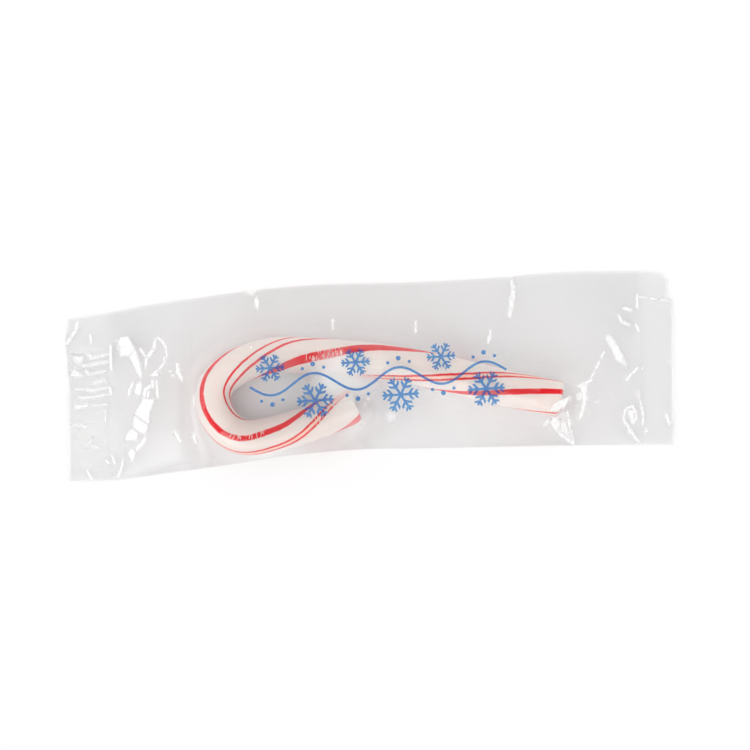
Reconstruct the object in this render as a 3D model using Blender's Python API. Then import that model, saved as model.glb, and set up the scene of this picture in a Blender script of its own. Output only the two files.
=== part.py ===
"""A small candy cane sealed in its clear film, as the one closed solid that the sealed pack is.

The wrapper is a tube of thin film, pressed flat and welded shut at both ends. The hooked stick
of candy inside lifts the upper film into a ridge. From that ridge the film falls like a tent to
the two folded long edges and to the two crimped end seals, and its underside lies flat.

Run with: blender --background --python part.py
Lengths below are in millimetres and are turned into metres when the mesh is shaped.
+X runs from the hook end to the straight end, +Y away from the short arm's side, +Z is up.
"""

import math

import bmesh
import bpy
from mathutils import Vector

MM = 0.001

# The stick of candy: a quarter-inch stick bent to a crook, lying on its side.
STICK_DIAMETER = 6.3
CANE_PATH = [
    (33.3, -6.8),
    (22.9, -3.9),
    (12.5, -0.6),
    (0.5, 2.3),
    (-13.7, 4.3),
    (-21.2, 3.5),
    (-26.5, 0.4),
    (-27.6, -3.8),
    (-25.2, -8.2),
    (-20.6, -9.8),
    (-11.5, -8.1),
    (-2.7, -5.3),
]
STEPS_PER_SPAN = 8
ARM_SPANS = 8

# The wrapper seen from above: its two long edges, and the lines where the end seals start.
FAR_EDGE = [
    (-53.3, 13.1),
    (-47.0, 13.7),
    (-38.5, 14.7),
    (-29.0, 15.4),
    (-18.0, 16.1),
    (-6.0, 16.1),
    (7.0, 15.5),
    (21.0, 15.3),
    (33.0, 15.5),
    (45.0, 15.0),
    (53.8, 14.2),
]
NEAR_EDGE = [
    (-53.3, -15.3),
    (-45.0, -15.6),
    (-35.0, -15.0),
    (-25.0, -14.3),
    (-13.0, -13.3),
    (-1.0, -13.2),
    (9.0, -13.7),
    (23.0, -14.4),
    (35.0, -15.0),
    (53.8, -16.1),
]
HOOK_END = -53.3
HOOK_SEAL = -45.8
STRAIGHT_SEAL = 47.9
STRAIGHT_END = 53.75
END_SLANT = 0.055

# Small shapes in the outline.
PINCH_AT = -20.6
PINCH_DEPTH = 0.9
PINCH_HALF_WIDTH = 1.2
HOOK_END_BULGE = 0.3
HOOK_END_BULGE_AT = 9.0
HOOK_END_BULGE_WIDTH = 3.5
LAP_EDGE_AT = 9.3
LAP_STEP = 0.8
LAP_STEP_WIDTH = 0.6
CORNER_CUT = 1.2

# Heights above the surface that the pack lies on.
CREST = 6.6
SIDE_TOP = 0.85
SIDE_UNDER = 0.35
SIDE_ROLL = 1.3
SEAL_MIDDLE = 0.55
SEAL_HALF_THICKNESS = 0.16
CRIMP_HEIGHT = 0.18
SHOULDER = 1.3
HOOK_BRIDGE = 0.3
PLEAT_HEIGHT = 0.35
PLEAT_PITCH = 5.2
PLEAT_REACH = 7.0
SEAL_BLEND = 2.4

# The grid that is shaped: one row of cells for each side of a crimp.
CRIMPS = 24
ROWS = 2 * CRIMPS
SEAL_COLUMNS = 3
BODY_COLUMN = 2.1
FLAT_ANGLE = math.radians(0.02)
SAME_HEIGHT = 1e-7

FILM_COLOUR = (0.86, 0.84, 0.85, 1.0)
FILM_ROUGHNESS = 0.12


def smooth_step(value):
    """0 below 0, 1 above 1, and an S-shaped rise between."""
    t = min(max(value, 0.0), 1.0)
    return t * t * (3.0 - 2.0 * t)


def bump(offset, half_width):
    """A smooth bump of height 1, which ends half_width to each side of its middle."""
    return smooth_step(1.0 - abs(offset) / half_width)


def blend_four(p0, p1, p2, p3, t):
    """Catmull-Rom interpolation from p1 to p2; works for numbers and for vectors."""
    return 0.5 * (
        2.0 * p1
        + (p2 - p0) * t
        + (2.0 * p0 - 5.0 * p1 + 4.0 * p2 - p3) * t * t
        + (3.0 * p1 - 3.0 * p2 + p3 - p0) * t * t * t
    )


def smooth_path(points, steps):
    """Points along a smooth curve through the given ones."""
    knots = [Vector(point) for point in points]
    knots.insert(0, 2.0 * knots[0] - knots[1])
    knots.append(2.0 * knots[-1] - knots[-2])
    path = []
    for first in range(len(points) - 1):
        four = knots[first:first + 4]
        path += [blend_four(*four, step / steps) for step in range(steps)]
    path.append(knots[-2])
    return path


def edge_at(edge, x):
    """The long edge's Y at this X, on a smooth curve through the edge's points."""
    last = len(edge) - 1
    span = 0
    while span < last - 1 and x > edge[span + 1][0]:
        span += 1
    start, end = edge[span], edge[span + 1]
    before = edge[max(span - 1, 0)]
    after = edge[min(span + 2, last)]
    t = (x - start[0]) / (end[0] - start[0])
    return blend_four(before[1], start[1], end[1], after[1], min(max(t, 0.0), 1.0))


def side_edges(x):
    """The near and the far long edge at this X, with the pinch in the far one."""
    pinch = PINCH_DEPTH * bump(x - PINCH_AT, PINCH_HALF_WIDTH)
    return edge_at(NEAR_EDGE, x), edge_at(FAR_EDGE, x) - pinch


def distance_to_path(path, place):
    """The distance in plan from a place to the nearest stretch of the path."""
    nearest = math.inf
    for start, end in zip(path, path[1:]):
        along = end - start
        t = (place - start).dot(along) / along.length_squared
        foot = start + along * min(max(t, 0.0), 1.0)
        nearest = min(nearest, (place - foot).length)
    return nearest


def inside_loop(loop, place):
    """Whether a place lies inside a closed loop, by counting the sides that a ray crosses."""
    inside = False
    for start, end in zip(loop, loop[1:] + loop[:1]):
        if (start.y > place.y) != (end.y > place.y):
            crossing = start.x + (place.y - start.y) / (end.y - start.y) * (end.x - start.x)
            if place.x < crossing:
                inside = not inside
    return inside


def tent_height(path, crook, x, place):
    """Height of the upper film: a ridge on the stick, falling to the edges and the seals."""
    near, far = side_edges(x)
    to_edge = min(place.y - near, far - place.y, x - HOOK_SEAL, STRAIGHT_SEAL - x)
    to_edge = max(to_edge, 0.0)
    to_stick = distance_to_path(path, place)
    if inside_loop(crook, place):
        to_stick *= HOOK_BRIDGE
    fall = max(to_stick - SHOULDER, 0.0)
    share = to_edge / (to_edge + fall + 1e-6)
    dome = min(to_stick, SHOULDER) ** 2 / STICK_DIAMETER
    return SIDE_TOP + (CREST - dome - SIDE_TOP) * share


def pleats(x, y):
    """Lengthwise pleats that run out of each end seal and fade into the pocket."""
    reach = min(abs(x - HOOK_SEAL), abs(STRAIGHT_SEAL - x)) / PLEAT_REACH
    return PLEAT_HEIGHT * bump(reach, 1.0) * math.cos(2.0 * math.pi * y / PLEAT_PITCH)


def seal_share(x):
    """1 on the end seals, 0 in the pocket, with a short blend between."""
    into_pocket = min(x - HOOK_SEAL, STRAIGHT_SEAL - x)
    return 1.0 - smooth_step(into_pocket / SEAL_BLEND)


def end_offset(x, y):
    """How far the cut ends stray from a straight line: a bulge, the lap's step, a cut corner."""
    hook_side = smooth_step((HOOK_SEAL - x) / (HOOK_SEAL - HOOK_END))
    straight_side = smooth_step((x - STRAIGHT_SEAL) / (STRAIGHT_END - STRAIGHT_SEAL))
    bulge = HOOK_END_BULGE * bump(y - HOOK_END_BULGE_AT, HOOK_END_BULGE_WIDTH)
    step = LAP_STEP * smooth_step((y - LAP_EDGE_AT) / LAP_STEP_WIDTH)
    corner = max(y - (side_edges(x)[1] - CORNER_CUT), 0.0)
    return -bulge * hook_side - (step + corner) * straight_side


def place_vertex(vert, columns, path, crook, is_top):
    """Moves one vertex of the flat grid to its place on the pack."""
    column = round((vert.co.x + 0.5) * (len(columns) - 1))
    row = round((vert.co.y + 0.5) * ROWS)
    x = columns[column]
    near, far = side_edges(x)
    y = near + (far - near) * row / ROWS
    place = Vector((x + END_SLANT * y, y))

    roll = smooth_step(min(y - near, far - y) / SIDE_ROLL)
    crimp = CRIMP_HEIGHT if row % 2 else -CRIMP_HEIGHT
    if is_top:
        pocket = tent_height(path, crook, x, place) + pleats(x, y) * roll
        seal = SEAL_MIDDLE + SEAL_HALF_THICKNESS + crimp
    else:
        pocket = SIDE_UNDER * (1.0 - roll)
        seal = SEAL_MIDDLE - SEAL_HALF_THICKNESS + crimp
    share = seal_share(x)
    height = pocket + (seal - pocket) * share
    vert.co = Vector((place.x + end_offset(x, y), y, height)) * MM


def column_places():
    """The X of each grid line: a few on each seal, even ones between, and three on the pinch."""
    hook_seal = [HOOK_END + (HOOK_SEAL - HOOK_END) * i / SEAL_COLUMNS for i in range(SEAL_COLUMNS)]
    cells = round((STRAIGHT_SEAL - HOOK_SEAL) / BODY_COLUMN)
    body = [HOOK_SEAL + (STRAIGHT_SEAL - HOOK_SEAL) * i / cells for i in range(cells)]
    body = [x for x in body if abs(x - PINCH_AT) > PINCH_HALF_WIDTH + BODY_COLUMN / 4.0]
    pinch = [PINCH_AT - PINCH_HALF_WIDTH, PINCH_AT, PINCH_AT + PINCH_HALF_WIDTH]
    straight_seal = [
        STRAIGHT_SEAL + (STRAIGHT_END - STRAIGHT_SEAL) * i / SEAL_COLUMNS
        for i in range(SEAL_COLUMNS + 1)
    ]
    return sorted(hook_seal + body + pinch + straight_seal)


def film_material():
    """Clear, glossy polypropylene film."""
    material = bpy.data.materials.new("clear_film")
    material.use_nodes = True
    shader = material.node_tree.nodes["Principled BSDF"]
    shader.inputs["Base Color"].default_value = FILM_COLOUR
    shader.inputs["Roughness"].default_value = FILM_ROUGHNESS
    shader.inputs["Metallic"].default_value = 0.0
    return material


def sealed_wrapper(collection):
    """The whole pack: a flat grid, extruded to a slab and shaped to the film's form."""
    columns = column_places()
    path = smooth_path(CANE_PATH, STEPS_PER_SPAN)
    crook = path[-ARM_SPANS * STEPS_PER_SPAN:]

    bm = bmesh.new()
    bmesh.ops.create_grid(bm, x_segments=len(columns) - 1, y_segments=ROWS, size=0.5)
    under = set(bm.verts)
    bmesh.ops.extrude_face_region(bm, geom=bm.faces[:], use_keep_orig=True)
    for vert in bm.verts:
        place_vertex(vert, columns, path, crook, vert not in under)
    bmesh.ops.recalc_face_normals(bm, faces=bm.faces[:])
    flat_verts = [vert for vert in bm.verts if vert.co.z < SAME_HEIGHT]
    flat_edges = [edge for edge in bm.edges if all(v.co.z < SAME_HEIGHT for v in edge.verts)]
    bmesh.ops.dissolve_limit(bm, angle_limit=FLAT_ANGLE, verts=flat_verts, edges=flat_edges)
    bmesh.ops.triangulate(bm, faces=bm.faces[:])

    mesh = bpy.data.meshes.new("sealed_wrapper")
    bm.to_mesh(mesh)
    bm.free()
    wrapper = bpy.data.objects.new("sealed_wrapper", mesh)
    mesh.materials.append(film_material())
    collection.objects.link(wrapper)
    return wrapper


def main():
    for old in list(bpy.data.objects):
        bpy.data.objects.remove(old)
    collection = bpy.data.collections.new("wrapped_candy_cane")
    bpy.context.scene.collection.children.link(collection)
    wrapper = sealed_wrapper(collection)
    corners = [Vector(corner) / MM for corner in wrapper.bound_box]
    print("low ", [round(min(corner[axis] for corner in corners), 2) for axis in range(3)])
    print("high", [round(max(corner[axis] for corner in corners), 2) for axis in range(3)])
    print("triangles", len(wrapper.data.polygons))


main()
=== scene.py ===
# %% [markdown]
# # A small candy cane, sealed in clear film
# The real thing is a quarter-inch stick of pulled sugar, bent to a crook and dropped into a tube of
# thin polypropylene film. Jaws weld the tube shut at both ends, so the film is flat at the ends and
# tented over the candy between them. This lesson makes the candy, the film with its creases and the
# blue print on the film, and then lights them as a small still life.

import math

import bmesh
import bpy
import numpy as np
from mathutils import Matrix, Vector, noise
from mathutils.bvhtree import BVHTree


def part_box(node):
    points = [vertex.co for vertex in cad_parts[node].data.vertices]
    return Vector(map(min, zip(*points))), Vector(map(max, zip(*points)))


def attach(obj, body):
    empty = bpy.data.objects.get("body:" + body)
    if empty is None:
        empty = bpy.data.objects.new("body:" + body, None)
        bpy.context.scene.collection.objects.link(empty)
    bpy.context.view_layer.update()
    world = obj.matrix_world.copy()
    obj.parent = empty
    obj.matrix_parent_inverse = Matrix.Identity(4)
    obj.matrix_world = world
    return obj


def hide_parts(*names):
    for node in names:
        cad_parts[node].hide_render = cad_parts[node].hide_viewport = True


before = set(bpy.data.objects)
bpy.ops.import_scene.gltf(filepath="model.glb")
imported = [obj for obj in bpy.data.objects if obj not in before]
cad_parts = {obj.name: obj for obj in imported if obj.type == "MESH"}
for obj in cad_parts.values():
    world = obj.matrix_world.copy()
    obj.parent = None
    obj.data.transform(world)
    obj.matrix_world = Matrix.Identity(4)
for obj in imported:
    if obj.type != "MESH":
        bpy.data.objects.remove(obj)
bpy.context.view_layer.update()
pack_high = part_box("sealed_wrapper")[1]

# %% [markdown]
# ## Units and small helpers
# A sweet is small, so its sizes are easiest to read in millimetres. Blender works in metres, and one
# factor turns the first into the second when a mesh is finished. Colours are written as the hex codes
# that a maker would read off a swatch, and one function turns them to the linear values that shaders
# want. Another adds one shader node with its settings and whatever feeds it.

# %% Millimetres and colours
MM = 0.001
TAU = 2.0 * math.pi


def colour(code):
    """Linear RGBA from an sRGB hex code such as '#d8262e'."""
    parts = [int(code[i:i + 2], 16) / 255.0 for i in (1, 3, 5)]
    linear = [p / 12.92 if p <= 0.04045 else ((p + 0.055) / 1.055) ** 2.4 for p in parts]
    return (*linear, 1.0)


def grey(value):
    """Linear RGBA of a grey, from black at 0 to white at 1."""
    return (value, value, value, 1.0)


print("the hex code #808080 is", round(colour("#808080")[0], 3), "in linear light")


# %% Shader nodes, materials and finished pieces
def add_node(tree, kind, inputs=None, **settings):
    """One node: its settings by name, and its inputs. An input is a value, another node's output, or
    another node, whose first output is meant."""
    node = tree.nodes.new(kind)
    for name, value in settings.items():
        setattr(node, name, value)
    for socket, value in (inputs or {}).items():
        source = value.outputs[0] if isinstance(value, bpy.types.Node) else value
        if isinstance(source, bpy.types.NodeSocket):
            tree.links.new(source, node.inputs[socket])
        else:
            node.inputs[socket].default_value = source
    return node


def new_material(name):
    """A material and its empty tree."""
    material = bpy.data.materials.new(name)
    material.use_nodes = True
    material.node_tree.nodes.clear()
    print("a new material:", name)
    return material, material.node_tree


def new_piece(name, bm, material):
    """Turns a finished bmesh, in millimetres, into an object in metres at the origin."""
    bmesh.ops.scale(bm, vec=(MM, MM, MM), verts=bm.verts[:])
    mesh = bpy.data.meshes.new(name)
    bm.to_mesh(mesh)
    bm.free()
    mesh.shade_smooth()
    mesh.materials.append(material)
    piece = bpy.data.objects.new(name, mesh)
    bpy.context.scene.collection.objects.link(piece)
    print(name, "has", len(mesh.polygons), "faces")
    return piece


# %% [markdown]
# ## The camera
# The pack lies flat and is seen from straight above, so the camera looks down with no tilt. A long
# lens from far away keeps the two ends at the same scale. The pack lies a little turned in view, and
# the camera is rolled to match.

# %% Look straight down through a long lens
VIEW_CENTRE = (1.0, -0.27)
VIEW_WIDTH = 132.3
VIEW_ROLL = math.radians(-3.9)
CAMERA_HEIGHT = 800.0
SENSOR = 36.0

camera_data = bpy.data.cameras.new("camera")
camera_data.sensor_width = SENSOR
camera_data.lens = SENSOR * CAMERA_HEIGHT / VIEW_WIDTH
camera = bpy.data.objects.new("camera", camera_data)
camera.location = Vector((*VIEW_CENTRE, CAMERA_HEIGHT)) * MM
camera.rotation_euler = (0.0, 0.0, VIEW_ROLL)
bpy.context.scene.collection.objects.link(camera)
bpy.context.scene.camera = camera
print("lens", round(camera_data.lens, 1), "mm")

# %% [markdown]
# ## Smooth curves through a few points
# The stick's centre line and the wrapper's long edges are both smooth lines through a handful of
# points. A Catmull-Rom curve passes through every point it is given, which makes the points easy to
# choose, so it is used for all of them.

# %% A sampled Catmull-Rom curve, and the stick's line from the arm's tip to the stem's end
CANE_POINTS = [
    (-2.7, -5.3),
    (-11.5, -8.1),
    (-20.6, -9.8),
    (-25.2, -8.2),
    (-27.6, -3.8),
    (-26.5, 0.4),
    (-21.2, 3.5),
    (-13.7, 4.3),
    (0.5, 2.3),
    (12.5, -0.6),
    (22.9, -3.9),
    (33.3, -6.8),
]


def smooth_curve(points, per_span=16):
    """Points on a smooth curve through the given ones, as an array."""
    knots = np.array(points, dtype=float)
    first = 2.0 * knots[0] - knots[1]
    last = 2.0 * knots[-1] - knots[-2]
    knots = np.vstack([first, knots, last])
    t = np.linspace(0.0, 1.0, per_span, endpoint=False)[:, None]
    spans = []
    for p0, p1, p2, p3 in zip(knots, knots[1:], knots[2:], knots[3:]):
        linear = (p2 - p0) * t
        square = (2.0 * p0 - 5.0 * p1 + 4.0 * p2 - p3) * t**2
        cube = (3.0 * p1 - 3.0 * p2 + p3 - p0) * t**3
        spans.append(0.5 * (2.0 * p1 + linear + square + cube))
    spans.append(knots[-2][None, :])
    return np.vstack(spans)


def run_along(line):
    """How far each point of a line lies from the line's start, measured along it."""
    return np.concatenate([[0.0], np.cumsum(np.linalg.norm(np.diff(line, axis=0), axis=1))])


cane_line = smooth_curve(CANE_POINTS, 24)
cane_run = run_along(cane_line)
CANE_LENGTH = float(cane_run[-1])
print("the stick is", round(CANE_LENGTH, 1), "mm long before it is bent")

# %% [markdown]
# ## Roll the stick
# The real stick is rolled straight and bent while it is warm, and the mesh is made in the same order.
# A cone primitive with two equal radii is a straight stick, and its long edges are cut into many short
# ones. Its ends get a small bevel, as a snapped stick has.

# %% A straight stick along Z, its lower end at the arm's tip
STICK_RADIUS = 3.15
STICK_SIDES = 56
STICK_CUTS = 260
END_BEVEL = 0.55


def straight_stick():
    """A round stick with bevelled ends, cut into short rings."""
    bm = bmesh.new()
    bmesh.ops.create_cone(
        bm,
        cap_ends=True,
        segments=STICK_SIDES,
        radius1=STICK_RADIUS,
        radius2=STICK_RADIUS,
        depth=CANE_LENGTH,
        matrix=Matrix.Translation((0.0, 0.0, CANE_LENGTH / 2.0)),
    )
    rims = [e for f in bm.faces if len(f.verts) == STICK_SIDES for e in f.edges]
    bmesh.ops.bevel(
        bm,
        geom=rims,
        offset=END_BEVEL,
        segments=3,
        profile=0.5,
        affect="EDGES",
        material=-1,
    )
    long_edges = [e for e in bm.edges if abs(e.verts[0].co.z - e.verts[1].co.z) > CANE_LENGTH / 2.0]
    bmesh.ops.subdivide_edges(bm, edges=long_edges, cuts=STICK_CUTS, use_grid_fill=True)
    return bm


stick = straight_stick()
print("the straight stick has", len(stick.faces), "faces")

# %% [markdown]
# ## Wind the stripes round it
# The maker twists the stick as it is rolled, which winds the straight stripes round it, in some places
# faster than in others. An image could hold them, but a UV map is enough: while the stick is straight,
# each point's place along it and its turn round it, less the twist there, are written to the map. The
# material then only asks for the turn.

# %% The twist in degrees, at equal steps from the arm's tip
TWIST_STEP = 6.0
TWIST = [54, 107, 158, 177, 202, 221, 253, 292, 343, 376, 410, 431, 456, 487, 524, 552, 574]
UV_UNIT = 10.0

twist_curve = smooth_curve([(i * TWIST_STEP, turn) for i, turn in enumerate(TWIST)], 12)


def twist_at(distance):
    """How far the stripes have turned, in degrees, at a distance from the arm's tip."""
    return float(np.interp(distance, twist_curve[:, 0], twist_curve[:, 1]))


def write_stick_uv(bm):
    """U is the distance along the stick, in units of 10 mm, and V the turns round it less the twist."""
    layer = bm.loops.layers.uv.new("stick")
    for face in bm.faces:
        middle = face.calc_center_median()
        home = math.atan2(middle.y, middle.x)
        for loop in face.loops:
            here = math.atan2(loop.vert.co.y, loop.vert.co.x)
            here = home + (here - home + math.pi) % TAU - math.pi
            turn = (math.degrees(here) - twist_at(loop.vert.co.z)) / 360.0
            loop[layer].uv = (loop.vert.co.z / UV_UNIT, turn)


write_stick_uv(stick)
print("the stripes wind round the stick", round((TWIST[-1] - TWIST[0]) / 360.0, 1), "times")

# %% [markdown]
# ## Bend it to the crook
# A cane maker bends the warm stick round a peg: a nearly straight stem, a round crook and a short
# arm that doesn't quite touch the stem. A curve modifier could bend the mesh, but moving each point
# to its ring on the line keeps every ring square to it. The stick was rolled by hand, so its
# thickness swells and shrinks by about one part in a hundred.

# %% Move each point from the straight line to the bent one
STICK_GAP = 0.12
STICK_HEIGHT = STICK_RADIUS + STICK_GAP
SWELL = 0.012
SWELL_LENGTH = 8.33
SWELL_TURN = 0.4
AIM = 0.3


def along_cane(distance):
    """The centre line's X and Y at a distance from the arm's tip."""
    x = np.interp(distance, cane_run, cane_line[:, 0])
    y = np.interp(distance, cane_run, cane_line[:, 1])
    return x, y


def bend_stick(bm):
    """Moves the straight stick's points to the crooked line, lying on its side."""
    for vert in bm.verts:
        along = vert.co.z
        reach = math.hypot(vert.co.x, vert.co.y)
        angle = math.atan2(vert.co.y, vert.co.x)
        before = along_cane(max(along - AIM, 0.0))
        after = along_cane(min(along + AIM, CANE_LENGTH))
        forward = Vector((after[0] - before[0], after[1] - before[1], 0.0)).normalized()
        outward = Vector((-forward.y, forward.x, 0.0))
        swell = 1.0 + SWELL * noise.noise(Vector((along / SWELL_LENGTH, 0.0, angle * SWELL_TURN)))
        x, y = along_cane(along)
        centre = Vector((float(x), float(y), STICK_HEIGHT))
        side = outward * math.sin(angle) + Vector((0.0, 0.0, math.cos(angle)))
        vert.co = centre + side * reach * swell


bend_stick(stick)
bmesh.ops.recalc_face_normals(stick, faces=stick.faces[:])
print("the bent stick's middle lies", STICK_HEIGHT, "mm above the table")

# %% [markdown]
# ## Stripes of coloured sugar
# Pulled sugar is full of tiny air bubbles, so it is white and a little creamy. The red lines are rods
# of coloured sugar, rolled into the surface. Going once round the stick there are two broad stripes
# with a pair of narrow ones after each, and the white between the last pair is stained a little. A
# colour ramp that is read once a turn draws them all.

# %% Each stripe's middle and width, in degrees round the stick
SUGAR_WHITE = "#e6dcd7"
SUGAR_RED = "#dc1020"
SUGAR_BLUSH = "#f7cfc0"
STRIPES = [
    (354.0, 28.0),
    (67.5, 7.0),
    (96.0, 5.0),
    (176.0, 16.5),
    (231.0, 5.5),
    (248.0, 5.5),
]
STRIPE_EDGE = 2.2
BLUSH = (231.0, 248.0)


def set_stops(ramp, stops):
    """Gives a colour ramp its stops, each a place from 0 to 1 and a colour, in order."""
    elements = ramp.color_ramp.elements
    elements[0].position, elements[0].color = stops[0]
    elements[1].position, elements[1].color = stops[-1]
    for place, tint in stops[1:-1]:
        elements.new(place).color = tint


def stripe_ramp(tree, turn):
    """A colour ramp over one turn of the stick, with two stops at each side of each stripe."""
    stops = [(0.0, SUGAR_RED)]
    for middle, width in STRIPES:
        low, high = middle - width / 2.0, middle + width / 2.0
        before = SUGAR_BLUSH if middle == BLUSH[1] else SUGAR_WHITE
        after = SUGAR_BLUSH if middle == BLUSH[0] else SUGAR_WHITE
        stops += [(low - STRIPE_EDGE, before), (low, SUGAR_RED)]
        stops += [(high, SUGAR_RED), (high + STRIPE_EDGE, after)]
    stops = sorted((place % 360.0 / 360.0, code) for place, code in stops)
    ramp = add_node(tree, "ShaderNodeValToRGB", {"Fac": turn})
    set_stops(ramp, [(place, colour(code)) for place, code in stops])
    return ramp


red = sum(width for _, width in STRIPES) / 360.0
print("red covers", round(100.0 * red), "percent of the stick")

# %% [markdown]
# ## Where the film clings, and where its glints are painted
# The film touches the stick only along its highest line. Where it clings damp, the sugar has gone
# smooth and glossy. Where it lies dry, the film's crinkles glint on the ridge, and those glints are
# painted into the candy's colour as white dashes across the stripes. So both need to know two
# things: a ramp along the stick picks the stretches, and the height picks the ridge.

# %% Damp stretches, and stretches with painted glints, in mm from the arm's tip
WET_STRETCHES = [(24.0, 38.0), (54.0, 66.0), (91.2, 95.4)]
RIDGE_GLINT_STRETCHES = [(2.0, 9.0), (16.5, 23.5), (49.5, 57.0)]
STRETCH_FADE = 0.3
RIDGE_LOW = 5.5
RIDGE_HIGH = 6.1


def stretch_ramp(tree, along, stretches):
    """A ramp along the stick that is 1 within some stretches and 0 between them."""
    share = add_node(tree, "ShaderNodeMath", {0: along, 1: UV_UNIT / CANE_LENGTH}, operation="MULTIPLY")
    ramp = add_node(tree, "ShaderNodeValToRGB", {"Fac": share})
    stops = [(0.0, grey(0.0))]
    for start, end in stretches:
        inner = (start + STRETCH_FADE, end - STRETCH_FADE)
        for place, value in ((start, 0.0), (inner[0], 1.0), (inner[1], 1.0), (end, 0.0)):
            stops.append((min(place / CANE_LENGTH, 1.0), grey(value)))
    set_stops(ramp, stops + [(1.0, grey(0.0))])
    return ramp


def on_ridge(tree, height, along, stretches):
    """1 on the stick's ridge within some stretches, 0 elsewhere."""
    ridge = add_node(
        tree,
        "ShaderNodeMapRange",
        {"Value": height, "From Min": RIDGE_LOW * MM, "From Max": RIDGE_HIGH * MM},
    )
    ramp = stretch_ramp(tree, along, stretches)
    return add_node(tree, "ShaderNodeMath", {0: ridge, 1: ramp}, operation="MULTIPLY")


print("the film clings to", round(sum(end - start for start, end in WET_STRETCHES)), "mm of the stick")

# %% [markdown]
# ## Paint the stripes, and the glints across them
# Hand-rolled stripes wander, so a little noise is added to the turn before the ramp reads it. The
# painted glints are noise too, squeezed along the stick so that they run across the stripes, with
# only its peaks kept. One such peak is about a quarter of a millimetre wide and one and a half long.

# %% The colour of the candy's surface, with the painted glints
STRIPE_WANDER = 0.012
WANDER_SIZE = 1.11
GLINT_DASH_WIDTH = 0.238
GLINT_DASH_LENGTH = 1.414
GLINT_DASH_PEAKS = (0.545, 0.61)
GLINT_DASH_WHITE = 0.85


def striped_colour(tree, place, turn):
    """The colour ramp, read where the wandering turn says."""
    wander = add_node(
        tree, "ShaderNodeTexNoise", {"Vector": place, "Scale": 1.0 / (WANDER_SIZE * MM), "Detail": 2.0}
    )
    shift = add_node(
        tree,
        "ShaderNodeMath",
        {0: wander, 1: STRIPE_WANDER, 2: -STRIPE_WANDER / 2.0},
        operation="MULTIPLY_ADD",
    )
    moved = add_node(tree, "ShaderNodeMath", {0: turn, 1: shift}, operation="ADD")
    once = add_node(tree, "ShaderNodeMath", {0: moved}, operation="FRACT")
    return stripe_ramp(tree, once)


def painted_glint_share(tree, uv, glint_ridge):
    """How much painted glint each place gets: noise peaks on the ridge, within the glinting stretches."""
    per_unit = (UV_UNIT / GLINT_DASH_WIDTH, TAU * STICK_RADIUS / GLINT_DASH_LENGTH, 1.0)
    squeezed = add_node(tree, "ShaderNodeMapping", {"Vector": uv, "Scale": per_unit})
    glint_noise = add_node(tree, "ShaderNodeTexNoise", {"Vector": squeezed, "Scale": 1.0, "Detail": 3.0})
    low, high = GLINT_DASH_PEAKS
    peaks = add_node(
        tree,
        "ShaderNodeMapRange",
        {"Value": glint_noise, "From Min": low, "From Max": high, "To Max": GLINT_DASH_WHITE},
    )
    return add_node(tree, "ShaderNodeMath", {0: glint_ridge, 1: peaks}, operation="MULTIPLY")


# the size of one painted glint dash on the ridge
print("a scratch is", GLINT_DASH_WIDTH, "mm wide and", GLINT_DASH_LENGTH, "mm long")

# %% [markdown]
# ## The sugar itself
# Boiled sugar bends light about as glass does, with an index of 1.5. Light goes a few millimetres
# into it and comes out softened, the red farthest, and subsurface scattering gives that. Its skin is
# matt with fine pits where it is dry, and smooth where it is damp, so the roughness has two values.

# %% The candy's material, and the finished cane
SUGAR_IOR = 1.5
LIGHT_REACH = (5.5, 3.4, 3.0)
SKIN_SHINE = 0.2
DRY_ROUGHNESS = 0.6
WET_ROUGHNESS = 0.25
PIT_SIZE = 0.625
PIT_DEPTH = 0.1
PIT_STRENGTH = 0.12


def boiled_sugar():
    material, tree = new_material("boiled_sugar_pulled_and_striped")
    uv = add_node(tree, "ShaderNodeUVMap", uv_map="stick").outputs["UV"]
    place = add_node(tree, "ShaderNodeTexCoord").outputs["Object"]
    along, turn, _ = add_node(tree, "ShaderNodeSeparateXYZ", {"Vector": uv}).outputs
    _, _, height = add_node(tree, "ShaderNodeSeparateXYZ", {"Vector": place}).outputs
    # painted highlight: white dashes painted into the colour where the film's crinkles glint on the ridge
    glint_ridge = on_ridge(tree, height, along, RIDGE_GLINT_STRETCHES)
    damp = on_ridge(tree, height, along, WET_STRETCHES)
    paint = add_node(
        tree,
        "ShaderNodeMix",
        {
            0: painted_glint_share(tree, uv, glint_ridge),
            6: striped_colour(tree, place, turn),
            7: colour(SUGAR_WHITE),
        },
        data_type="RGBA",
    )
    roughness = add_node(
        tree, "ShaderNodeMapRange", {"Value": damp, "To Min": DRY_ROUGHNESS, "To Max": WET_ROUGHNESS}
    )
    pits = add_node(
        tree, "ShaderNodeTexNoise", {"Vector": place, "Scale": 1.0 / (PIT_SIZE * MM), "Detail": 3.0}
    )
    pitted = add_node(
        tree, "ShaderNodeBump", {"Height": pits, "Strength": PIT_STRENGTH, "Distance": PIT_DEPTH * MM}
    )
    sugar = add_node(
        tree,
        "ShaderNodeBsdfPrincipled",
        {
            "Base Color": paint.outputs[2],
            "Roughness": roughness,
            "Normal": pitted,
            "IOR": SUGAR_IOR,
            "Specular IOR Level": SKIN_SHINE,
            "Subsurface Weight": 1.0,
            "Subsurface Radius": [reach * MM for reach in LIGHT_REACH],
            "Subsurface Scale": 1.0,
        },
    )
    add_node(tree, "ShaderNodeOutputMaterial", {"Surface": sugar})
    return material


candy_cane = new_piece("candy_cane", stick, boiled_sugar())
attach(candy_cane, "root")

# %% [markdown]
# ## The wrapper's outline
# The film tube is about 31 mm wide when pressed flat. Where the candy lifts it, the tube is drawn in
# a little, and the whole pack is slightly bowed. Its two long edges are smooth lines, each pinched
# here and there. The welded ends were cut a little askew, with a bulge at the hook's end, and with a
# step and a clipped corner at the straight end. Smooth humps and steps give all of that.

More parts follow.
